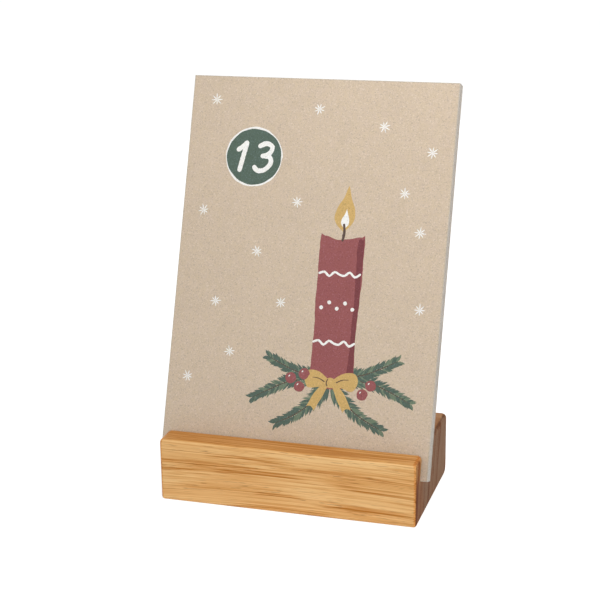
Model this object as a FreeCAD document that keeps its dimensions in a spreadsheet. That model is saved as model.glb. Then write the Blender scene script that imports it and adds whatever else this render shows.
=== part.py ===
"""Wooden photo block holder: an oak block with a slanted groove that holds a stack of cards.

The frame has its origin at the centre of the block's underside, with +X along the block,
+Y to the back and +Z up. All lengths are in millimetres.
"""
import FreeCAD, Part
import math
import os
import Sketcher

CARD_COUNT = 24
FRONT_CARD = 13
SHARP_TURN = math.radians(5)
NEAR = 1e-6

SIZES = {
    # The oak bar
    "block_length": 100.0,
    "block_depth": 55.0,
    "block_height": 25.0,
    "outer_edge_radius": 1.2,
    "top_end_radius": 1.8,
    "back_bottom_radius": 3.5,
    # The groove, whose depth is measured down its front wall
    "lip_thickness": 9.6,
    "groove_tilt": 20.0,
    "groove_depth": 9.5,
    "groove_front_clearance": 0.95,
    "groove_rear_clearance": 0.05,
    "groove_mouth_radius": 0.4,
    "cut_overrun": 5.0,
    # The cards, of postcard size
    "card_width": 105.0,
    "card_height": 148.0,
    "card_thickness": 0.21,
    "card_gap": 0.02,
}

doc = FreeCAD.newDocument("PhotoBlockHolder")
sheet = doc.addObject("Spreadsheet::Sheet", "Sizes")
for row, (alias, value) in enumerate(SIZES.items(), start=1):
    sheet.set(f"A{row}", alias.replace("_", " "))
    sheet.set(f"B{row}", str(value))
    sheet.setAlias(f"B{row}", alias)
doc.recompute()

# Formulas that the groove and the cards share
STACK_THICKNESS = f"({CARD_COUNT} * Sizes.card_thickness + {CARD_COUNT - 1} * Sizes.card_gap)"
GROOVE_WIDTH = f"({STACK_THICKNESS} + Sizes.groove_front_clearance + Sizes.groove_rear_clearance)"
TILT = "(Sizes.groove_tilt * 1deg)"
LIP_BACK_Y = "(Sizes.lip_thickness - Sizes.block_depth / 2)"


def value_of(formula):
    """What a formula gives with the sheet's present values, as a plain number."""
    result = sheet.evalExpression(formula)
    return getattr(result, "Value", result)


def side_sketch(body, name):
    """An empty sketch on the body's YZ plane: its x runs to the back and its y runs up."""
    sketch = body.newObject("Sketcher::SketchObject", name)
    plane = next(item for item in body.Origin.OriginFeatures if item.Role == "YZ_Plane")
    sketch.AttachmentSupport = [(plane, "")]
    sketch.MapMode = "FlatFace"
    return sketch


def draw_loop(sketch, corners):
    """A closed outline of straight lines through the corners. Returns the lines' numbers."""
    ends = corners[1:] + corners[:1]
    lines = [sketch.addGeometry(Part.LineSegment(a, b)) for a, b in zip(corners, ends)]
    for line, following in zip(lines, lines[1:] + lines[:1]):
        sketch.addConstraint(Sketcher.Constraint("Coincident", line, 2, following, 1))
    return lines


def bind(sketch, name, kind, *places, formula):
    """Adds a measured constraint and ties its value to the sheet."""
    value = value_of(formula)
    if kind == "Angle":
        value = math.radians(value)
    number = sketch.addConstraint(Sketcher.Constraint(kind, *places, value))
    sketch.renameConstraint(number, name)
    sketch.setExpression(f"Constraints.{name}", formula)


def corner_edges(shape, wanted):
    """Names of the edges where two faces meet at a corner and that the test accepts."""
    names = []
    for number, edge in enumerate(shape.Edges, start=1):
        middle = edge.valueAt((edge.FirstParameter + edge.LastParameter) / 2)
        faces = shape.ancestorsOfType(edge, Part.Face)
        normals = [face.normalAt(*face.Surface.parameter(middle)) for face in faces]
        if len(faces) == 2 and normals[0].getAngle(normals[1]) > SHARP_TURN and wanted(middle):
            names.append(f"Edge{number}")
    return names


# The oak block: a bar drawn by its side profile, rounded, then grooved from end to end
block = doc.addObject("PartDesign::Body", "OakBlock")
block.Label = "oak_block"

depth = value_of("Sizes.block_depth")
height = value_of("Sizes.block_height")
profile = side_sketch(block, "BlockProfile")
bottom, back, top, front = draw_loop(profile, [
    FreeCAD.Vector(-depth / 2, 0, 0),
    FreeCAD.Vector(depth / 2, 0, 0),
    FreeCAD.Vector(depth / 2, height, 0),
    FreeCAD.Vector(-depth / 2, height, 0),
])
for line in (bottom, top):
    profile.addConstraint(Sketcher.Constraint("Horizontal", line))
for line in (back, front):
    profile.addConstraint(Sketcher.Constraint("Vertical", line))
profile.addConstraint(Sketcher.Constraint("PointOnObject", bottom, 1, -1))
bind(profile, "half_depth", "DistanceX", -1, 1, bottom, 2, formula="Sizes.block_depth / 2")
bind(profile, "depth", "DistanceX", bottom, 1, bottom, 2, formula="Sizes.block_depth")
bind(profile, "height", "DistanceY", back, 1, back, 2, formula="Sizes.block_height")

bar = block.newObject("PartDesign::Pad", "Bar")
bar.Profile = profile
bar.SideType = "Symmetric"
bar.setExpression("Length", "Sizes.block_length")
doc.recompute()

back_round = block.newObject("PartDesign::Fillet", "BackBottomRound")
back_round.Base = (bar, corner_edges(
    bar.Shape, lambda p: p.y > 0 and abs(p.z) < NEAR and abs(p.x) < NEAR))
back_round.setExpression("Radius", "Sizes.back_bottom_radius")
doc.recompute()

end_rounds = block.newObject("PartDesign::Fillet", "TopEndRounds")
end_rounds.Base = (back_round, corner_edges(
    back_round.Shape, lambda p: abs(p.z - height) < NEAR and abs(p.y) < NEAR))
end_rounds.setExpression("Radius", "Sizes.top_end_radius")
doc.recompute()

outer_rounds = block.newObject("PartDesign::Fillet", "OuterRounds")
outer_rounds.Base = (end_rounds, corner_edges(end_rounds.Shape, lambda p: True))
outer_rounds.setExpression("Radius", "Sizes.outer_edge_radius")
doc.recompute()

# The groove's profile: its walls lean back, and its floor is square to them
tilt = math.radians(value_of(TILT))
up_wall = FreeCAD.Vector(math.sin(tilt), math.cos(tilt), 0)
across = FreeCAD.Vector(math.cos(tilt), -math.sin(tilt), 0)
mouth = FreeCAD.Vector(value_of(LIP_BACK_Y), height, 0)
foot = mouth - up_wall * value_of("Sizes.groove_depth")
over = mouth + up_wall * value_of("Sizes.cut_overrun")
width = across * value_of(GROOVE_WIDTH)
groove_profile = side_sketch(block, "GrooveProfile")
front_wall, lid, rear_wall, floor = draw_loop(
    groove_profile, [foot, over, over + width, foot + width])
mouth_point = groove_profile.addGeometry(Part.Point(mouth), True)
groove_profile.addConstraint(Sketcher.Constraint("PointOnObject", mouth_point, 1, front_wall))
groove_profile.addConstraint(Sketcher.Constraint("Perpendicular", front_wall, floor))
groove_profile.addConstraint(Sketcher.Constraint("Parallel", front_wall, rear_wall))
groove_profile.addConstraint(Sketcher.Constraint("Perpendicular", rear_wall, lid))
bind(groove_profile, "wall_angle", "Angle", front_wall, formula=f"90deg - {TILT}")
bind(groove_profile, "lip_back", "DistanceX", -1, 1, mouth_point, 1, formula=LIP_BACK_Y)
bind(groove_profile, "top", "DistanceY", -1, 1, mouth_point, 1, formula="Sizes.block_height")
bind(groove_profile, "groove_depth", "Distance", front_wall, 1, mouth_point, 1,
     formula="Sizes.groove_depth")
bind(groove_profile, "overrun", "Distance", mouth_point, 1, front_wall, 2,
     formula="Sizes.cut_overrun")
bind(groove_profile, "groove_width", "Distance", floor, formula=GROOVE_WIDTH)

groove = block.newObject("PartDesign::Pocket", "Groove")
groove.Profile = groove_profile
groove.SideType = "Symmetric"
groove.setExpression("Length", "Sizes.block_length + 2 * Sizes.cut_overrun")
doc.recompute()


def on_groove_mouth(point):
    """Whether a point of the groove's outline lies on a wall, above the floor's corners."""
    from_foot = FreeCAD.Vector(point.y, point.z, 0) - foot
    above_floor = from_foot.dot(up_wall)
    from_front = from_foot.dot(across)
    on_wall = abs(from_front) < NEAR or abs(from_front - width.Length) < NEAR
    return on_wall and above_floor > NEAR


mouth_rounds = block.newObject("PartDesign::Fillet", "GrooveMouthRounds")
mouth_rounds.Base = (groove, corner_edges(groove.Shape, on_groove_mouth))
mouth_rounds.setExpression("Radius", "Sizes.groove_mouth_radius")
doc.recompute()

# The cards, from the front of the stack to its back. The card on show is in front, the
# later ones follow it, and the earlier ones have been put at the back.
FRONT_GAP = "Sizes.groove_front_clearance"
PITCH = "(Sizes.card_thickness + Sizes.card_gap)"
cards = []
for place in range(CARD_COUNT):
    number = (FRONT_CARD - 1 + place) % CARD_COUNT + 1
    card = doc.addObject("Part::Box", f"Card{number:02d}")
    card.Label = f"card_{number:02d}"
    card.setExpression("Length", "Sizes.card_width")
    card.setExpression("Width", "Sizes.card_thickness")
    card.setExpression("Height", "Sizes.card_height")
    from_wall = f"({FRONT_GAP} + {place} * {PITCH})"
    card.Placement.Rotation = FreeCAD.Rotation(FreeCAD.Vector(1, 0, 0), -math.degrees(tilt))
    card.setExpression("Placement.Rotation.Angle", f"-{TILT}")
    card.setExpression("Placement.Base.x", "-Sizes.card_width / 2")
    card.setExpression("Placement.Base.y", f"{LIP_BACK_Y} - Sizes.groove_depth * sin({TILT})"
                       f" + {from_wall} * cos({TILT})")
    card.setExpression("Placement.Base.z", f"Sizes.block_height - Sizes.groove_depth"
                       f" * cos({TILT}) - {from_wall} * sin({TILT})")
    cards.append(card)
doc.recompute()

for item in doc.Objects:
    if "Invalid" in item.State or "Error" in item.State:
        raise RuntimeError(f"{item.Label} did not compute: {item.State}")
os.makedirs("parts", exist_ok=True)
for item in [block] + cards:
    if item.Shape.isNull() or not item.Shape.isValid():
        raise RuntimeError(f"{item.Label} has no valid shape")
    item.Shape.exportStep(f"parts/{item.Label}.step")
    print(item.Label, round(item.Shape.Volume, 3), item.Shape.BoundBox)
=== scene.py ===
"""An oak block with a slanted groove, and the stack of printed kraft cards that stands in it."""

import math
import random

import bpy
from mathutils import Matrix, Vector
from mathutils.geometry import delaunay_2d_cdt


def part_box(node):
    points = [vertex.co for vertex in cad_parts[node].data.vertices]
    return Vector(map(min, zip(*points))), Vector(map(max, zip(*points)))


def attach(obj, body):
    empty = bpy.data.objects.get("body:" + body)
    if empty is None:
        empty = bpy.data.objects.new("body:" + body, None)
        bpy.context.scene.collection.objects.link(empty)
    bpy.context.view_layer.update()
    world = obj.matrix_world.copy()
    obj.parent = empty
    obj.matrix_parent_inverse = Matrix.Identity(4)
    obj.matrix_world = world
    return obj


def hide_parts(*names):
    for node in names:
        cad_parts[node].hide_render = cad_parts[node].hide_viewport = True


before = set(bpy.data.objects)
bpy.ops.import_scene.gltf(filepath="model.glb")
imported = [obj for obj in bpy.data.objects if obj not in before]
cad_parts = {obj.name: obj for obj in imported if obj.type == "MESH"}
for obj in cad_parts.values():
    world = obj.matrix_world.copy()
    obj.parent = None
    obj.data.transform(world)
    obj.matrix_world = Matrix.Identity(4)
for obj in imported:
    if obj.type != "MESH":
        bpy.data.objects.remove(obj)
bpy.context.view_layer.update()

# The block is one solid bar of European oak with the grain along its length. The bar is
# planed, grooved with a tilted saw cut and rounded over along its edges, then sanded and
# rubbed with clear oil, which deepens the pores and turns the end grain brown.
MM = 0.001
BLOCK_HEIGHT = 25.0
FRONT_Y = -27.5
LIP_BACK_Y = -17.0
REAR_FRONT_Y = -13.0
# Heights on the thin lip's end that get painted light
PAINTED_CHEEK_HEIGHTS = (12.0, 22.0)
# Distances from the middle between which the rear part's top gets painted shadow
CARD_SHADOW_ENDS = (37.0, 47.0)

OAK_LIGHT = (246, 201, 138)
OAK_MIDDLE = (228, 171, 103)
OAK_DARK = (188, 119, 44)
OAK_PORE = (146, 88, 38)
# Painted highlight: the orange of the lip's rounded corners where they catch the light
PAINTED_RIM_LIGHT = (0.96, 0.77, 0.56, 1.0)
END_GRAIN_TINT = (0.362, 0.300, 0.360, 1.0)

# The heart of the tree lies behind and below the block, and the grain rises in a low arch
HEART_Y = 95.0
HEART_Z = -16.0
RING_WIDTH = 1.75
RING_LEAN = 2.5
GRAIN_SLOPE = 0.006
GRAIN_ARCH = 0.0006
ARCH_CREST = 15.0

# How often the wood's figure changes in a millimetre across the grain and along it
STREAK_WAVES = (0.16, 0.014)
FIBRE_WAVES = (2.3, 0.018)
LINE_WAVES = (1.5, 0.02)
PORE_WAVES = (3.2, 0.17)
BEND_WAVES = (0.012, 0.03, 0.05)
BEND_REACH = (0.0, 4.0, 0.9)
END_RING_WAVES = (0.45, 0.01)

# How far each part of the figure darkens the wood
BARE_TONE = 0.18
FLAME_TONE = 0.56
RING_TONE = 0.3
LINE_TONE = 0.2
BAND_TONE = 0.4
STREAK_TONE = 0.7
FIBRE_TONE = 1.7
# Painted shade: faces that look up are darkened, standing for the weaker light on tops, and the
# rear part's top more, for the shadow of the leaning cards
TOP_PAINTED_SHADE = 0.66
LIP_TOP_PAINTED_SHADE = 0.60
END_RING_TONE = 4.0
PORE_STRENGTH = 0.6
OIL_GLOSS = 0.22

# Dark flames where rings break through the front: each one's middle along the block, the
# height of its sharp lower edge there, its half length, its thickness and how dark it is
FLAMES = (
    (-14.0, 19.8, 20.0, 2.2, 1.0),
    (22.0, 17.9, 22.0, 1.5, 0.4),
    (-35.0, 15.9, 22.0, 1.9, 0.85),
    (-10.0, 14.2, 21.0, 2.2, 1.15),
    (14.0, 12.6, 20.0, 1.7, 0.7),
    (38.0, 11.2, 21.0, 2.2, 1.0),
    (-46.0, 13.3, 16.0, 0.6, 0.6),
    (-3.0, 6.4, 11.0, 1.7, 0.8),
    (30.0, 4.1, 21.0, 1.5, 0.7),
    (-4.0, 1.3, 25.0, 1.9, 0.85),
)
FLAME_BOW = 0.25
# Wide bands of darker and lighter growth on the front: share of its height, and darkness
GROWTH_BANDS = ((0.0, 0.8), (0.1, 0.45), (0.22, 0.35), (0.36, 0.0), (0.45, 0.1), (0.6, 0.75),
                (0.8, 0.6), (1.0, 0.25))
# One year's ring, from its open spring wood to its dense summer wood
YEAR = ((0.0, 0.15), (0.08, 1.0), (0.22, 0.85), (0.55, 0.2), (0.8, 0.0), (1.0, 0.15))


class Wire:
    """An output of a shader node. Arithmetic on wires adds Math or Vector Math nodes."""

    def __init__(self, socket):
        self.socket = socket

    def node(self, kind, settings=None, inputs=None, out=0):
        """Adds a node of another type to this wire's material and returns one of its outputs."""
        tree = self.socket.id_data
        node = tree.nodes.new("ShaderNode" + kind)
        for name, value in (settings or {}).items():
            if name == "stops":
                set_stops(node.color_ramp, value)
            else:
                setattr(node, name, value)
        for name, value in (inputs or {}).items():
            if isinstance(value, Wire):
                tree.links.new(value.socket, node.inputs[name])
            else:
                node.inputs[name].default_value = value
        return Wire(node.outputs[out])

    def operate(self, operation, left, right):
        """Works on two numbers, or on two vectors, in a node of the right kind."""
        sides = (left, right)
        if any(isinstance(side, tuple) or is_vector(side) for side in sides):
            sides = [(side,) * 3 if isinstance(side, (int, float)) else side for side in sides]
            return self.node("VectorMath", {"operation": operation}, dict(enumerate(sides)))
        return self.node("Math", {"operation": operation}, dict(enumerate(sides)))

    def __add__(self, other):
        return self.operate("ADD", self, other)

    def __radd__(self, other):
        return self.operate("ADD", other, self)

    def __sub__(self, other):
        return self.operate("SUBTRACT", self, other)

    def __rsub__(self, other):
        return self.operate("SUBTRACT", other, self)

    def __mul__(self, other):
        return self.operate("MULTIPLY", self, other)

    def __rmul__(self, other):
        return self.operate("MULTIPLY", other, self)

    def math(self, operation, other=0.0):
        """One of the Math node's other operations."""
        return self.node("Math", {"operation": operation}, {0: self, 1: other})

    def part(self, axis):
        """One component of a vector."""
        return self.node("SeparateXYZ", None, {0: self}, out="XYZ".index(axis))

    def ramp(self, *stops):
        """A value that follows straight runs between the stops, each (place, value)."""
        grey = self.node("ValToRGB", {"stops": stops}, {0: self})
        return grey.node("RGBToBW", None, {0: grey})

    def between(self, start, end):
        """0 at the first limit and past it, 1 at the second, and a smooth way between them."""
        return self.node("MapRange", {"interpolation_type": "SMOOTHSTEP"},
                         {0: self, 1: start, 2: end, 3: 0.0, 4: 1.0})

    def blend(self, below, above, how="MIX"):
        """Lays the second colour over the first one, as far as this wire says."""
        settings = {"data_type": "RGBA", "blend_type": how}
        return self.node("Mix", settings, {0: self, 6: below, 7: above}, out=2)

    def grain(self, scale, detail=2.0, roughness=0.5, kind="Fac"):
        """Smooth noise at this place."""
        inputs = {"Vector": self, "Scale": scale, "Detail": detail, "Roughness": roughness}
        return self.node("TexNoise", None, inputs, out=kind)


def is_vector(side):
    """Whether one side of a sum or product is a vector or a colour."""
    return isinstance(side, Wire) and side.socket.type in {"VECTOR", "RGBA"}


def set_stops(ramp, stops):
    """Puts the (place, value or colour) stops on a colour ramp."""
    while len(ramp.elements) < len(stops):
        ramp.elements.new(1.0)
    for element, (place, value) in zip(ramp.elements, stops):
        element.position = place
        element.color = value if isinstance(value, tuple) else (value, value, value, 1.0)


def paint(red, green, blue):
    """A colour as it looks on a screen, 0 to 255, turned into the light it sends back."""
    shares = [value / 255 for value in (red, green, blue)]
    light = [((s + 0.055) / 1.055) ** 2.4 if s > 0.04045 else s / 12.92 for s in shares]
    return (*light, 1.0)


def new_material(name):
    """A new material, its shader, and the place and normal on the object as wires."""
    material = bpy.data.materials.new(name)
    material.use_nodes = True
    nodes = material.node_tree.nodes
    spot = nodes.new("ShaderNodeTexCoord")
    shader = nodes["Principled BSDF"]
    return material, shader, Wire(spot.outputs["Object"]), Wire(spot.outputs["Normal"])


def plug(wire, node, name):
    """Feeds a wire into a node's named socket."""
    node.id_data.links.new(wire.socket, node.inputs[name])


def grain_height(along, height):
    """A place's height in the block with the slope and the low arch of its grain taken out."""
    from_crest = along - ARCH_CREST
    arch = from_crest * from_crest * (1 - height * (1 / BLOCK_HEIGHT)) * GRAIN_ARCH
    return height + along * GRAIN_SLOPE + arch


def oiled_oak():
    """Oak with rings, flames, streaks, fibres and pores, browner where the grain ends."""
    material, shader, place, normal = new_material("oiled_oak")
    place = place * (1 / MM)
    along = place.part("X")
    depth = place.part("Y")
    level = grain_height(along, place.part("Z"))

    def vector(x, y, z):
        return place.node("CombineXYZ", None, {0: x, 1: y, 2: z})

    # Growth rings round the heart, which wander a little
    wander = vector(along * BEND_WAVES[0], depth * BEND_WAVES[1], level * BEND_WAVES[2])
    bend = (wander.grain(1.0, 1.0, 0.4, "Color") - (0.5, 0.5, 0.5)) * BEND_REACH
    from_heart = vector(0.0, depth - HEART_Y, level - HEART_Z) + bend
    distance = from_heart.node("VectorMath", {"operation": "LENGTH"}, {0: from_heart}, out=1)
    year = distance * (1 / RING_WIDTH)
    ring = year.math("FLOOR")
    strength = ring.node("TexWhiteNoise", {"noise_dimensions": "1D"}, {"W": ring})
    spring = year.math("FRACT").ramp(*YEAR)

    # Streaks, fibres, lines and pores, all long in the direction of the grain
    across = vector(0.0, depth, level) + bend
    lengthwise = vector(along, 0.0, 0.0)

    def figure(waves, roughness=0.5, shift=(0.0, 0.0, 0.0)):
        return (across * waves[0] + lengthwise * waves[1] + shift).grain(1.0, 1.0, roughness)

    streaks = figure(STREAK_WAVES, 0.4, (5.0, 0.0, 0.0))
    fibres = figure(FIBRE_WAVES)
    lines = figure(LINE_WAVES, 0.5, (0.0, 31.0, 7.0)).between(0.56, 0.64)
    pores = figure(PORE_WAVES).between(0.58, 0.72) * (0.2 + 0.8 * spring)

    # The flames lie in planes that are nearly upright, so they end just behind the front
    lifted = level + (depth - FRONT_Y) * RING_LEAN + bend.part("Z") * 0.4
    flames = []
    for middle, low, half_length, thickness, dark in FLAMES:
        away = (along - middle) * (1 / half_length)
        up = (lifted - grain_height(middle, low)) * (1 / thickness) + away * away * FLAME_BOW
        flame = up.ramp((0.0, 0.0), (0.16, dark), (0.4, dark * 0.7), (1.0, 0.0))
        flames.append(flame * (1 - away * away).between(0.0, 0.9))
    flame = sum(flames[1:], flames[0]) * (0.35 + fibres * 1.3)
    bands = (lifted * (1 / BLOCK_HEIGHT)).ramp(*GROWTH_BANDS)

    # Where the surface looks up, or along the grain at one of the block's ends
    lip = 1 - depth.between(LIP_BACK_Y, REAR_FRONT_Y)
    on_top = normal.part("Z").between(0.4, 0.95)
    facing_end = normal.part("X").math("ABSOLUTE")
    # Painted highlight: the lip's rounded corners are tinted orange below, and on the lip the end
    # grain's tint is kept to faces that look straight along the grain
    corner = facing_end.between(0.05, 0.45) * lip
    lip_end = facing_end.between(0.6, 0.95)
    end = lip_end + (facing_end.between(0.1, 0.6) - lip_end) * (1 - lip)
    end_rings = vector(year * END_RING_WAVES[0], along * END_RING_WAVES[1], 0.0).grain(1.0, 1.0)

    shade = spring * (0.3 + 0.7 * strength) * streaks.between(0.4, 0.62)
    tone = flame * FLAME_TONE + shade * RING_TONE + lines * LINE_TONE + BARE_TONE
    # Painted shade: faces that look up are darker, the rear part's top more than the lip's
    tone = tone + on_top * (TOP_PAINTED_SHADE + lip * (LIP_TOP_PAINTED_SHADE - TOP_PAINTED_SHADE))
    tone = tone + (bands - 0.4) * BAND_TONE + (streaks - 0.5) * STREAK_TONE
    tone = tone + (fibres - 0.5) * FIBRE_TONE + end * ((end_rings - 0.5) * END_RING_TONE + 0.1)
    stops = ((0.0, paint(*OAK_LIGHT)), (0.45, paint(*OAK_MIDDLE)), (1.0, paint(*OAK_DARK)))
    colour = tone.node("ValToRGB", {"stops": stops}, {0: tone})
    colour = (pores * PORE_STRENGTH).blend(colour, paint(*OAK_PORE))

    # The end grain drinks more oil and turns browner. Painted shadow darkens the rear part's top
    # near both ends, where the leaning cards' shadow falls, and painted light keeps the thin lip's
    # rounded corners orange and its upper end lighter.
    colour = corner.blend(colour, PAINTED_RIM_LIGHT, "MULTIPLY")
    # Painted shadow: the rear part's top near both ends takes the end grain's tint, standing for
    # the shadow of the leaning cards
    painted_card_shadow = along.math("ABSOLUTE").between(*CARD_SHADOW_ENDS) * on_top * (1 - lip) * 0.42
    colour = painted_card_shadow.blend(colour, END_GRAIN_TINT, "MULTIPLY")
    # Painted light: the thin lip's upper end keeps less of the end grain's tint, standing for the
    # light it catches
    painted_cheek_light = lip * place.part("Z").between(*PAINTED_CHEEK_HEIGHTS)
    colour = (end * (1 - painted_cheek_light * 0.4)).blend(colour, END_GRAIN_TINT, "MULTIPLY")
    plug(colour, shader, "Base Color")
    plug(0.5 + pores * 0.25 + (fibres - 0.5) * 0.2 + end * 0.12, shader, "Roughness")
    relief = fibres * 0.35 - pores
    bump = relief.node("Bump", None, {"Strength": 0.35, "Distance": 0.06 * MM, "Height": relief})
    plug(bump, shader, "Normal")
    shader.inputs["Specular IOR Level"].default_value = OIL_GLOSS
    return material


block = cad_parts["oak_block"]
block.data.materials.clear()
block.data.materials.append(oiled_oak())

# Each card is a sheet of board with a kraft-coloured face, cut to postcard size and printed
# with a day's number in a disc, a simple winter motif and small snow stars. Nothing fixes
# the cards: they stand face to face in the groove and are lifted out by hand.
CARD_COUNT = 24
FRONT_CARD = 13
# A card is cut 0.1 mm narrower than its place, so that it can stand a hair to one side
CARD_WIDTH = 104.9
CARD_HEIGHT = 148.0
CARD_THICKNESS = 0.21
CARD_PITCH = 0.23
RIM_WIDTH = 0.35
LEAN = math.radians(20)
INKS = {
    "kraft_face": (210, 191, 170),
    "board_edge": (253, 248, 242),
    "pressed_rim": (199, 186, 169),
    "white_ink": (251, 249, 245),
    "green_ink": (90, 107, 97),
    "light_green_ink": (114, 130, 110),
    "red_ink": (154, 92, 93),
    "deep_red_ink": (126, 70, 74),
    "ochre_ink": (209, 174, 112),
    "brown_ink": (96, 79, 72),
}
INK_NAMES = list(INKS)
FACE = INK_NAMES.index("kraft_face")
EDGE = INK_NAMES.index("board_edge")
RIM = INK_NAMES.index("pressed_rim")

# The paper's mottling, its yellower places, and its paler and darker flecks
MOTTLING = 0.035
YELLOWED = (0.995, 0.995, 0.945, 1.0)
PALE_FLECK = (14, 16, 20)
DARK_FLECK = 0.88
PALEST = 252
PAPER_ROUGHNESS = 0.85
# Painted shade across one card's cut edge, from its face to its back, darkest at both faces where
# the gaps between the cards are
GAP_SHADE_RAMP = ((0.0, 1.0), (0.16, 0.15), (0.5, 0.0), (0.78, 0.15), (0.94, 1.0))
GAP_SHADE_DARK = 0.78
CUT_ROUGHNESS = 0.9

# An outline has a point every step, and the waver of a knife held by hand: a few waves,
# each with its length and strength. Points this near are one, and triangles stay inside.
STEP = 0.8
WAVER = 0.13
WAVES = ((2.3, 0.7), (0.83, 0.4), (4.7, 1.0))
NEAR = 1e-5
INSIDE_ONLY = 1

# Sizes of the print in millimetres. A digit's step, margin and slant are shares of its
# height, and the light needles are a share of all.
DISC_POINTS = 12
TIP_POINTS = 8
STEM_WIDTH = 0.8
NEEDLE_LENGTH = 6.2
NEEDLE_SHRINK = 3.4
NEEDLE_WIDTH = 0.85
LIGHT_NEEDLES = 0.3
STAR_REACH = 2.45
STAR_RAYS = 8
RAY_WIDTH = 0.40
BERRY_RADIUS = 2.1
DISC_RADIUS = 10.9
DISC_RIM = 0.6
DIGIT_HEIGHT = 10.6
DIGIT_STEP = 0.84
DIGIT_MARGIN = 0.10
DIGIT_SLANT = 0.14
DIGIT_STROKE = 1.8

# Brush strokes of each digit, in a box 0.6 wide and 1 high
DIGITS = (
    (((.30, 1), (.06, .82), (0, .5), (.08, .16), (.3, 0), (.54, .18), (.6, .5), (.52, .84),
      (.3, 1)),),
    (((.1, .74), (.24, .86), (.36, 1)), ((.36, 1), (.33, .5), (.3, 0))),
    (((.03, .78), (.15, .96), (.36, 1), (.54, .84), (.5, .62), (.28, .34), (.02, .02)),
     ((.02, .02), (.3, .05), (.6, 0))),
    (((.05, .9), (.28, 1), (.52, .88), (.46, .64), (.22, .54)),
     ((.22, .54), (.5, .5), (.58, .28), (.4, .04), (.14, 0), (0, .12))),
    (((.38, 1), (.2, .66), (0, .36)), ((0, .36), (.3, .36), (.62, .4)),
     ((.46, .66), (.42, .3), (.38, 0))),
    (((.52, 1), (.3, .98), (.12, .97)), ((.12, .97), (.1, .76), (.06, .58)),
     ((.06, .58), (.3, .64), (.54, .5), (.54, .22), (.34, .02), (.04, .06))),
    (((.46, 1), (.2, .76), (.04, .4), (.1, .1), (.32, 0), (.54, .14), (.54, .38), (.34, .5),
      (.12, .38), (.06, .26)),),
    (((.02, .94), (.3, .97), (.58, 1)), ((.58, 1), (.4, .56), (.24, 0))),
    (((.5, .84), (.32, 1), (.1, .88), (.12, .68), (.34, .54), (.54, .34), (.48, .08), (.26, 0),
      (.06, .12), (.08, .34), (.3, .54), (.48, .7), (.5, .84)),),
    (((.52, .74), (.4, .98), (.14, .98), (.04, .74), (.16, .54), (.4, .56), (.52, .74)),
     ((.52, .74), (.5, .4), (.36, 0))),
)


def smooth(points, closed=False):
    """Points along a smooth line through the given ones. A point given twice is a corner."""
    points = [Vector(p) for p in points]
    count = len(points)
    line = []
    for i in range(count if closed else count - 1):
        ends = [i - 1, i, i + 1, i + 2]
        ends = [e % count if closed else min(max(e, 0), count - 1) for e in ends]
        before, start, end, after = (points[e] for e in ends)
        span = (end - start).length
        if span < NEAR:
            continue
        steps = max(2, round(span / STEP))
        for k in range(steps):
            t = k / steps
            pull = (end - before) * t + (2 * before - 5 * start + 4 * end - after) * t ** 2
            pull += (3 * start - before - 3 * end + after) * t ** 3
            line.append(start + pull / 2)
    if not closed:
        line.append(points[-1])
    return line


def turned(points, angle, middle):
    """The points turned about the middle."""
    turn = Matrix.Rotation(angle, 2)
    return [turn @ Vector(p) + Vector(middle) for p in points]


def card_outline(inset):
    """The card's four corners in card millimetres, moved inwards."""
    right, top = CARD_WIDTH - inset, CARD_HEIGHT - inset
    return [Vector(p) for p in ((inset, inset), (right, inset), (right, top), (inset, top))]


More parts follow.
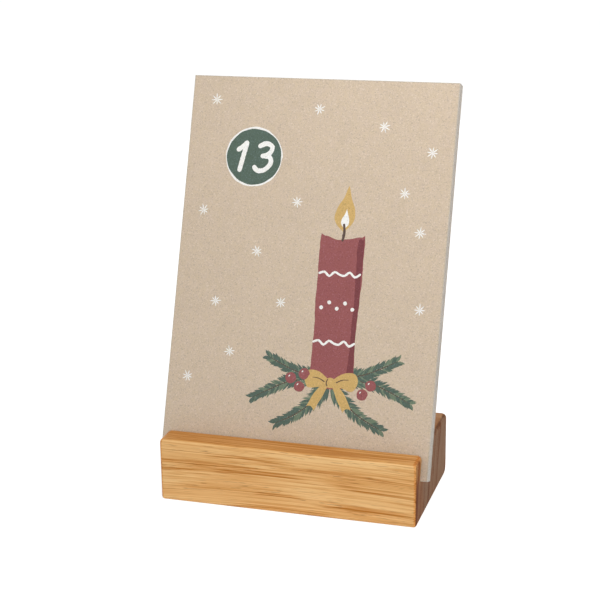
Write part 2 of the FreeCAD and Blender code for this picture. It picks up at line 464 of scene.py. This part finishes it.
class Print:
    """What is printed on one card: inked outlines in card millimetres, the last one on top."""

    def __init__(self, number):
        self.hand = random.Random(number)
        self.outlines = [card_outline(0), card_outline(RIM_WIDTH)]
        self.inks = [RIM, FACE]

    def fill(self, ink, outline):
        """Adds an outline, turned to run anticlockwise."""
        ahead = outline[1:] + outline[:1]
        if sum(a.cross(b) for a, b in zip(outline, ahead)) < 0:
            outline = outline[::-1]
        self.outlines.append(outline)
        self.inks.append(INK_NAMES.index(ink))

    def shape(self, ink, points, waver=WAVER):
        """A filled shape with the slight waver of a hand-cut outline."""
        line = smooth(points, closed=True)
        phases = [self.hand.uniform(0, 6.28) for _ in WAVES]
        moved = []
        for i, point in enumerate(line):
            ahead = line[(i + 1) % len(line)] - line[i - 1]
            side = Vector((ahead.y, -ahead.x)).normalized()
            swing = sum(math.sin(i * STEP / length + phase) * strength
                        for (length, strength), phase in zip(WAVES, phases))
            moved.append(point + side * swing * waver)
        self.fill(ink, moved)

    def disc(self, ink, middle, radius, waver=WAVER):
        """A round spot, cut by hand."""
        turns = [math.tau * k / DISC_POINTS for k in range(DISC_POINTS)]
        self.shape(ink, [(middle[0] + radius * math.cos(t), middle[1] + radius * math.sin(t))
                         for t in turns], waver)

    def stroke(self, ink, points, width, tip=1.0):
        """A brush stroke along a smooth line. Its far end narrows to the given share."""
        line = smooth(points)
        count = len(line)
        rails = []
        for i, point in enumerate(line):
            ahead = line[min(i + 1, count - 1)] - line[max(i - 1, 0)]
            side = Vector((ahead.y, -ahead.x)).normalized()
            share = 1 + (tip - 1) * i / (count - 1)
            half = width / 2 * share * self.hand.uniform(0.9, 1.1)
            rails.append((point + side * half, point - side * half))
        for (a, b), (c, d) in zip(rails, rails[1:]):
            self.fill(ink, [a, c, d, b])
        for point, share in ((line[0], 1.0), (line[-1], tip)):
            if share > 0.3:
                turns = [math.tau * k / TIP_POINTS for k in range(TIP_POINTS)]
                radius = width / 2 * share
                self.fill(ink, [point + Vector((math.cos(t), math.sin(t))) * radius for t in turns])

    def leaf(self, ink, root, angle, length, width):
        """One thin needle or ray, pointed at both ends."""
        half = width / 2
        outline = ((0, 0), (length * 0.3, -half), (length * 0.7, -half * 0.9), (length, 0),
                   (length * 0.7, half * 0.9), (length * 0.3, half))
        self.fill(ink, turned(outline, angle, root))

    def snow(self, middle, size=STAR_REACH):
        """A small snow star of thin rays."""
        first = self.hand.uniform(0, 0.7)
        for k in range(STAR_RAYS):
            reach = size * self.hand.uniform(0.8, 1.1)
            self.leaf("white_ink", middle, first + k * math.tau / STAR_RAYS, reach, RAY_WIDTH)

    def twig(self, root, tip, sag=3.0):
        """A fir twig: a brown stem with green needles on both sides."""
        root, tip = Vector(root), Vector(tip)
        middle = (root + tip) / 2 + Vector((0, -sag))
        stem = smooth((root, middle, tip))
        self.stroke("brown_ink", (root, middle, tip), STEM_WIDTH, tip=0.5)
        for i in range(1, len(stem)):
            ahead = stem[i] - stem[i - 1]
            way = math.atan2(ahead.y, ahead.x)
            share = i / len(stem)
            for side in (-1, 1):
                light = self.hand.random() < LIGHT_NEEDLES
                ink = "light_green_ink" if light else "green_ink"
                length = (NEEDLE_LENGTH - NEEDLE_SHRINK * share) * self.hand.uniform(0.85, 1.1)
                turn = way + side * self.hand.uniform(0.55, 0.75)
                self.leaf(ink, stem[i], turn, length, NEEDLE_WIDTH)

    def berry(self, middle):
        """A red berry with a glint."""
        self.disc("red_ink", middle, BERRY_RADIUS)
        self.leaf("white_ink", (middle[0] - 1.0, middle[1] + 0.5), 0.9, 1.0, 0.45)

    def number(self, value, middle):
        """The day's number, brushed in white on a green disc with a white rim."""
        self.disc("white_ink", middle, DISC_RADIUS + DISC_RIM, 0.11)
        self.disc("green_ink", middle, DISC_RADIUS, 0.11)
        digits = [int(d) for d in str(value)]
        first = DIGIT_MARGIN - DIGIT_STEP / 2 * len(digits)
        for place, digit in enumerate(digits):
            left = first + DIGIT_STEP * place
            for stroke in DIGITS[digit]:
                points = [(middle[0] + DIGIT_HEIGHT * (left + x + DIGIT_SLANT * (y - 0.5)),
                           middle[1] + DIGIT_HEIGHT * (y - 0.5)) for x, y in stroke]
                self.stroke("white_ink", points, DIGIT_STROKE)


def candle(card, u, v):
    """A tall red candle with white bands, set in fir twigs and berries."""
    for root, tip, sag in (((0, 10), (-30, 1), -3), ((0, 10), (31, 4), -3), ((0, 8), (-20, -8), 2),
                           ((0, 8), (21, -7), 2), ((0, 11), (-25, 17), 2), ((0, 11), (25, 19), 2)):
        card.twig((u + root[0], v + root[1]), (u + tip[0], v + tip[1]), sag)
    left, right, top = u - 8.5, u + 8.5, v + 62
    card.shape("red_ink", ((left, v + 8), (left, v + 8), (left + 0.3, v + 30), (left - 0.2, top),
                           (left + 1.5, top + 2.2), (u - 2, top + 0.8), (u + 3, top + 1.6),
                           (right - 1, top + 2.4), (right + 0.4, top), (right - 0.2, v + 30),
                           (right, v + 8), (right, v + 8), (u, v + 6.5)))
    card.shape("deep_red_ink", ((right - 2.6, v + 9), (right - 2, v + 30), (right - 2.3, top - 2),
                                (right - 0.6, top + 1.2), (right + 0.2, top - 1),
                                (right - 0.3, v + 30), (right - 0.1, v + 8.6)))
    for height in (24, 50):
        card.stroke("white_ink", [(left + 0.6 + 15.8 * k / 8, v + height + 0.9 * math.sin(k * 2.4))
                                  for k in range(9)], 0.85)
    for k in range(5):
        card.disc("white_ink", (left + 2.4 + 3.05 * k, v + 37 + (k % 2) * 2.2), 0.75, 0.05)
    card.stroke("brown_ink", ((u, top + 0.8), (u + 0.5, top + 3.5), (u + 0.2, top + 6)), 0.9)
    flame = ((0, 4), (0, 4), (-3.6, 8), (-3.2, 12.5), (-0.6, 17), (1, 22), (1, 22), (2.6, 16.5),
             (4, 12), (3.4, 7.5))
    card.shape("ochre_ink", [(u + x, top + y) for x, y in flame])
    card.shape("white_ink", [(u + 0.3 + x * 0.42, top + 3.6 + y * 0.42) for x, y in flame], 0.06)
    wick = ((u + 0.1, top + 2.2), (u + 0.4, top + 4.4), (u + 0.1, top + 6.8))
    card.stroke("brown_ink", wick, 0.9)
    bow(card, u, v + 9, "ochre_ink")
    for x, y in ((-12, 6.5), (-15.5, 9.5), (12.5, 5.5), (15.5, 9), (-10.5, 11.5)):
        card.berry((u + x, v + y))


def bow(card, u, v, ink):
    """A ribbon bow with two loops and two tails."""
    for way in (-1, 1):
        card.shape(ink, [(u + way * x, v + y) for x, y in
                         ((0.5, -0.6), (0.5, -0.6), (3, -6), (5.6, -11), (5.6, -11), (7, -9.4),
                          (8.8, -9.6), (8.8, -9.6), (6, -4.6), (1.8, 0.4))])
        card.shape(ink, [(u + way * x, v + y) for x, y in
                         ((0.4, 0), (4, 3.6), (9, 4.2), (10.4, 1), (8.6, -2.4), (4, -1.6))])
        fold = ((2.4, 0.3), (4.6, 1.4), (7, 1.6))
        card.stroke("brown_ink", [(u + way * x, v + y) for x, y in fold], 0.45, tip=0.4)
    card.disc(ink, (u, v), 1.9)
    card.stroke("brown_ink", ((u - 1.2, v - 1.2), (u - 1.6, v), (u - 1.1, v + 1.2)), 0.4)


def fir_tree(card, u, v):
    """A fir tree in three tiers, edged with snow, with an ochre star."""
    card.shape("brown_ink", ((u - 3, v), (u - 3, v), (u - 2.4, v + 12), (u + 2.4, v + 12),
                             (u + 3, v), (u + 3, v)))
    for low, high, half in ((8, 42, 22), (28, 60, 17.5), (46, 78, 12.5)):
        low, high = v + low, v + high
        card.shape("green_ink", ((u - half, low), (u - half, low), (u - half * 0.5, low - 2.2),
                                 (u, low + 0.4), (u + half * 0.5, low - 2.2), (u + half, low),
                                 (u + half, low), (u + half * 0.4, low + (high - low) * 0.5),
                                 (u, high), (u, high), (u - half * 0.4, low + (high - low) * 0.5)))
        card.stroke("white_ink", ((u - half * 0.86, low + 1.6), (u - half * 0.45, low + 0.6),
                                  (u, low + 3), (u + half * 0.45, low + 0.6),
                                  (u + half * 0.86, low + 1.6)), 0.8)
    for x, y in ((-9, 18), (4, 15), (11, 19), (-4, 26), (-7, 38), (6, 36), (1, 47), (-4, 56),
                 (4, 60)):
        card.disc("red_ink" if x < 2 else "ochre_ink", (u + x, v + y), 1.7)
    for k in range(5):
        card.leaf("ochre_ink", (u, v + 80), math.pi / 2 + k * math.tau / 5, 5.4, 3.4)


def bauble(card, u, v):
    """A round glass bauble with bands, hung from a fir twig."""
    card.twig((u - 24, v + 74), (u + 24, v + 70), -5)
    card.stroke("brown_ink", ((u, v + 76), (u + 1.2, v + 62), (u, v + 47)), 0.6)
    card.shape("ochre_ink", ((u - 3.2, v + 40), (u - 3.2, v + 40), (u - 3, v + 46), (u + 3, v + 46),
                             (u + 3.2, v + 40), (u + 3.2, v + 40)))
    card.disc("red_ink", (u, v + 22), 20)
    for height in (15, 29):
        card.stroke("white_ink", [(u + 18.4 * k / 5, v + height + 1.3 * math.sin(k * 1.9))
                                  for k in range(-5, 6)], 0.9)
    for k in range(-3, 4):
        card.disc("ochre_ink", (u + k * 5, v + 22 - abs(k) * 0.3), 1.3, 0.08)
    shadow = ((u + 14, v + 9.4), (u + 18, v + 18), (u + 17.6, v + 29))
    card.stroke("deep_red_ink", shadow, 1.8, tip=0.4)


def parcel(card, u, v):
    """A wrapped parcel with a ribbon and a bow."""
    card.shape("red_ink", ((u - 21, v), (u - 21, v), (u - 21.5, v + 18), (u - 20.6, v + 38),
                           (u - 20.6, v + 38), (u, v + 38.8), (u + 21, v + 38), (u + 21, v + 38),
                           (u + 20.4, v + 18), (u + 21, v), (u + 21, v), (u, v - 0.6)))
    for way in (-1, 1):
        for x, y in ((8, 6), (15, 11), (9, 18), (16, 25), (9, 32)):
            card.snow((u + way * x, v + y), 1.5)
    card.shape("ochre_ink", ((u - 3, v), (u - 3, v), (u - 2.8, v + 38), (u - 2.8, v + 38),
                             (u + 2.8, v + 38), (u + 2.8, v + 38), (u + 3, v), (u + 3, v)))
    card.shape("deep_red_ink", ((u - 22.5, v + 36), (u - 22.5, v + 36), (u - 22.5, v + 43),
                                (u - 22.5, v + 43), (u + 22.5, v + 43), (u + 22.5, v + 43),
                                (u + 22.5, v + 36), (u + 22.5, v + 36)))
    bow(card, u, v + 46, "ochre_ink")
    card.twig((u, v + 52), (u - 15, v + 68), 1)
    card.twig((u, v + 52), (u + 15, v + 67), 1)
    for x in (-2.4, 2.4):
        card.berry((u + x, v + 54))


def bell(card, u, v):
    """An ochre hand bell with a bow and two twigs."""
    card.twig((u, v + 56), (u - 24, v + 46), -4)
    card.twig((u, v + 56), (u + 24, v + 47), -4)
    card.disc("brown_ink", (u, v + 4), 4)
    card.shape("ochre_ink", ((u - 22, v + 7), (u - 22, v + 7), (u - 15, v + 16), (u - 12.5, v + 32),
                             (u - 10, v + 46), (u, v + 52), (u + 10, v + 46), (u + 12.5, v + 32),
                             (u + 15, v + 16), (u + 22, v + 7), (u + 22, v + 7), (u, v + 4.6)))
    card.stroke("brown_ink", ((u - 17.4, v + 12.4), (u, v + 10), (u + 17.4, v + 12.4)), 0.8)
    card.stroke("white_ink", [(u + 12.4 * k / 5, v + 25 + 1.2 * math.sin(k * 2.1))
                              for k in range(-5, 6)], 0.9)
    card.stroke("brown_ink", ((u + 9.6, v + 17), (u + 8, v + 32), (u + 5.6, v + 44)), 0.6, tip=0.4)
    bow(card, u, v + 56, "red_ink")


MOTIFS = (candle, fir_tree, bauble, parcel, bell)

# Places in card millimetres. An odd day has its disc at the left and its motif at the right,
# and an even day is the other way round.
STARS = ((52, 136), (78, 131), (96, 121), (10, 139), (46, 101), (9, 96), (31, 80), (94, 92),
         (17, 61), (43, 62), (97, 62), (8, 30), (88, 106), (24, 42))
DISC_LEFT, DISC_RIGHT, DISC_UP = 27, 78, 117
MOTIF_LEFT, MOTIF_RIGHT, MOTIF_UP = 42, 65, 24


def printed(number):
    """The print of one day's card."""
    card = Print(number)
    odd = number % 2 == 1
    draw_motif = MOTIFS[(number - FRONT_CARD) % len(MOTIFS)]
    across = card.hand.uniform(-4, 4) if number != FRONT_CARD else 0
    for u, v in STARS:
        u = u if odd else CARD_WIDTH - u
        card.snow((u + card.hand.uniform(-1, 1), v + card.hand.uniform(-1, 1)))
    draw_motif(card, (MOTIF_RIGHT if odd else MOTIF_LEFT) + across, MOTIF_UP)
    card.number(number, ((DISC_LEFT if odd else DISC_RIGHT) + across / 2, DISC_UP))
    return card


def inked_board(name, colour):
    """The card's board, or the ink on it. Both show the paper's short fibres."""
    material, shader, place, _ = new_material(name)
    place = place * (1 / MM)
    dull = [value * (1 - MOTTLING) for value in colour]
    clear = [min(value * (1 + MOTTLING), PALEST) for value in colour]
    pale = [min(value + more, PALEST) for value, more in zip(colour, PALE_FLECK)]
    dark = [value * DARK_FLECK for value in colour]
    cloud = place.grain(0.12)
    mottle = place.grain(1.3, 3.0, 0.65)
    pale_flecks = place.grain(1.9, 1.0).between(0.57, 0.69)
    dark_flecks = place.grain(2.3, 1.0).between(0.43, 0.31)
    yellow = place.grain(0.5, 3.0, 0.65).between(0.36, 0.64)
    tint = (mottle - 0.5) * 1.4 + (cloud - 0.5) * 0.6 + 0.5
    base = tint.blend(paint(*dull), paint(*clear))
    base = yellow.blend(base, YELLOWED, "MULTIPLY")
    base = (pale_flecks * 0.8).blend(base, paint(*pale))
    base = (dark_flecks * 0.85).blend(base, paint(*dark))
    plug(base, shader, "Base Color")
    bump = mottle.node("Bump", None, {"Strength": 0.25, "Distance": 0.02 * MM, "Height": mottle})
    plug(bump, shader, "Normal")
    shader.inputs["Roughness"].default_value = PAPER_ROUGHNESS
    shader.inputs["Specular IOR Level"].default_value = 0.2
    return material


def cut_edges(name, colour):
    """The cut edges of the stack: the white core of each board between its kraft faces, with
    painted shade at both faces where the gaps between the cards are.
    """
    material, shader, place, _ = new_material(name)
    low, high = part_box(f"card_{FRONT_CARD:02d}")
    foot = (low.z + CARD_THICKNESS * MM * math.sin(LEAN)) / MM
    front = low.y / MM * math.cos(LEAN) - foot * math.sin(LEAN)
    place = place * (1 / MM)
    through = place.part("Y") * math.cos(LEAN) - place.part("Z") * math.sin(LEAN)
    card = (through - front) * (1 / CARD_PITCH)
    count = card.math("FLOOR")
    shade = count.node("TexWhiteNoise", {"noise_dimensions": "1D"}, {"W": count})
    gap_shade = card.math("FRACT").ramp(*GAP_SHADE_RAMP)
    # Painted shade: each card's edge darkens towards its two faces, for the gaps between the cards;
    # the tone per card and the noise are the board's own
    tone = gap_shade * 0.34 + shade * 0.26 + (place.grain(0.35) - 0.5) * 0.4
    base = tone.blend(paint(*colour), paint(*[value * GAP_SHADE_DARK for value in colour]))
    plug(base, shader, "Base Color")
    bump = gap_shade.node("Bump", None, {"Strength": 0.6, "Distance": 0.03 * MM, "Height": 1 - gap_shade})
    plug(bump, shader, "Normal")
    shader.inputs["Roughness"].default_value = CUT_ROUGHNESS
    shader.inputs["Specular IOR Level"].default_value = 0.15
    return material


def cut_card(number, materials):
    """One card as a solid sheet whose front face is divided along the edges of its print."""
    art = printed(number)
    low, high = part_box(f"card_{number:02d}")
    slack = (high.x - low.x) / MM - CARD_WIDTH
    across = Vector((1, 0, 0)) * MM
    up = Vector((0, math.sin(LEAN), math.cos(LEAN))) * MM
    inward = Vector((0, math.cos(LEAN), -math.sin(LEAN))) * MM
    origin = Vector((low.x, low.y, low.z - inward.z * CARD_THICKNESS))
    origin += across * art.hand.uniform(0, slack)

    points = [p for outline in art.outlines for p in outline]
    faces = []
    first = 0
    for outline in art.outlines:
        faces.append(list(range(first, first + len(outline))))
        first += len(outline)
    divided = delaunay_2d_cdt(points, [], faces, INSIDE_ONLY, NEAR)
    flat, _, triangles, _, _, sources = divided
    corners = [min(range(len(flat)), key=lambda i: (flat[i] - c).length) for c in art.outlines[0]]
    mesh_points = [origin + across * p.x + up * p.y for p in flat]
    back = [len(flat) + k for k in range(4)]
    mesh_points += [mesh_points[c] + inward * CARD_THICKNESS for c in corners]
    mesh_faces = [tuple(t) for t in triangles]
    slots = [art.inks[max(s)] for s in sources]
    mesh_faces.append(tuple(reversed(back)))
    slots.append(FACE)
    for k in range(4):
        after = (k + 1) % 4
        mesh_faces.append((corners[after], corners[k], back[k], back[after]))
        slots.append(EDGE)

    mesh = bpy.data.meshes.new(f"picture_card_{number:02d}")
    mesh.from_pydata(mesh_points, [], mesh_faces)
    for material in materials:
        mesh.materials.append(material)
    mesh.polygons.foreach_set("material_index", slots)
    mesh.update()
    card = bpy.data.objects.new(mesh.name, mesh)
    bpy.context.scene.collection.objects.link(card)
    return card


card_materials = [cut_edges(name, colour) if name == "board_edge" else inked_board(name, colour)
                  for name, colour in INKS.items()]
for number in range(1, CARD_COUNT + 1):
    card = cut_card(number, card_materials)
    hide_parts(f"card_{number:02d}")
    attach(card, f"card_{number:02d}")

# The camera stands a little to the right of the block's front and looks down on it, at the
# distance and with the lens that the photograph's edges and their perspective give.
CAMERA_TURN = math.radians(17.038)
CAMERA_HEIGHT_ANGLE = math.radians(16.670)
CAMERA_ROLL = math.radians(-0.749)
CAMERA_DISTANCE = 532.33 * MM
CAMERA_AIM = Vector((6.793, -27.5, 84.198)) * MM
CAMERA_LENS = 89.26

backward = Vector((math.sin(CAMERA_TURN) * math.cos(CAMERA_HEIGHT_ANGLE),
                   -math.cos(CAMERA_TURN) * math.cos(CAMERA_HEIGHT_ANGLE),
                   math.sin(CAMERA_HEIGHT_ANGLE)))
level = Vector((math.cos(CAMERA_TURN), math.sin(CAMERA_TURN), 0))
upright = backward.cross(level)
sideways = math.cos(CAMERA_ROLL) * level + math.sin(CAMERA_ROLL) * upright
overhead = math.cos(CAMERA_ROLL) * upright - math.sin(CAMERA_ROLL) * level
camera = bpy.data.objects.new("camera", bpy.data.cameras.new("camera"))
camera.data.sensor_fit = "HORIZONTAL"
camera.data.lens = CAMERA_LENS
camera.data.clip_start = 0.01
stance = Matrix((sideways, overhead, backward)).transposed().to_4x4()
camera.matrix_world = Matrix.Translation(CAMERA_AIM + backward * CAMERA_DISTANCE) @ stance
bpy.context.scene.collection.objects.link(camera)
bpy.context.scene.camera = camera

# The studio is an even white room with a white floor that keeps the object's shadow. A wide
# lamp low at the front left lights the upright faces more than the top ones, and a closer
# one above the front right makes the cards brightest at their top. A low one lights the back.
ROOM_LIGHT = 0.36
LAMPS = (
    # Name, place, width across and power
    ("back_lamp", Vector((-0.32, 0.72, 0.14)), 0.60, 0.55),
    ("front_lamp", Vector((-0.25, -0.78, 0.24)), 0.60, 1.09),
    ("near_lamp", Vector((0.125, -0.185, 0.405)), 0.22, 0.86),
)
LAMP_AIM = Vector((0, 0, 0.08))
FLOOR_RADIUS = 6.0
FLOOR_CORNERS = 96
FLOOR_COLOUR = (246, 246, 246)
FLOOR_GLOW = 0.7
WHITE = (1.0, 1.0, 1.0, 1.0)

for name, spot, width, power in LAMPS:
    lamp = bpy.data.objects.new(name, bpy.data.lights.new(name, "AREA"))
    lamp.data.shape = "DISK"
    lamp.data.size = width
    lamp.data.energy = power
    turn = (spot - LAMP_AIM).to_track_quat("Z", "Y").to_matrix().to_4x4()
    lamp.matrix_world = Matrix.Translation(spot) @ turn
    bpy.context.scene.collection.objects.link(lamp)


def ray_kinds(tree, *kinds):
    """A wire that is 1 where the ray is of one of these kinds."""
    path = tree.nodes.new("ShaderNodeLightPath")
    wires = [Wire(path.outputs[kind]) for kind in kinds]
    found = wires[0]
    for wire in wires[1:]:
        found = found.math("MAXIMUM", wire)
    return found


world = bpy.data.worlds.new("white_room")
world.use_nodes = True
bpy.context.scene.world = world
seen = ray_kinds(world.node_tree, "Is Camera Ray", "Is Glossy Ray", "Is Transmission Ray")
room = seen.node("Background", None, {"Color": WHITE, "Strength": ROOM_LIGHT})
backdrop = seen.node("Background", None, {"Color": WHITE, "Strength": 1.0})
plug(seen.node("MixShader", None, {0: seen, 1: room, 2: backdrop}),
     world.node_tree.nodes["World Output"], "Surface")

floor_mesh = bpy.data.meshes.new("studio_floor")
turns = [math.tau * k / FLOOR_CORNERS for k in range(FLOOR_CORNERS)]
floor_mesh.from_pydata([(FLOOR_RADIUS * math.cos(t), FLOOR_RADIUS * math.sin(t), 0) for t in turns],
                       [], [tuple(range(FLOOR_CORNERS))])
floor = bpy.data.objects.new("studio_floor", floor_mesh)
bpy.context.scene.collection.objects.link(floor)
floor_material, floor_shader, _, _ = new_material("studio_floor")
floor_shader.inputs["Base Color"].default_value = paint(*FLOOR_COLOUR)
floor_shader.inputs["Roughness"].default_value = 1.0
floor_shader.inputs["Specular IOR Level"].default_value = 0.0
floor_shader.inputs["Emission Strength"].default_value = FLOOR_GLOW
plug(ray_kinds(floor_material.node_tree, "Is Camera Ray"), floor_shader, "Emission Color")
floor_mesh.materials.append(floor_material)

bpy.context.scene.view_settings.view_transform = "Standard"
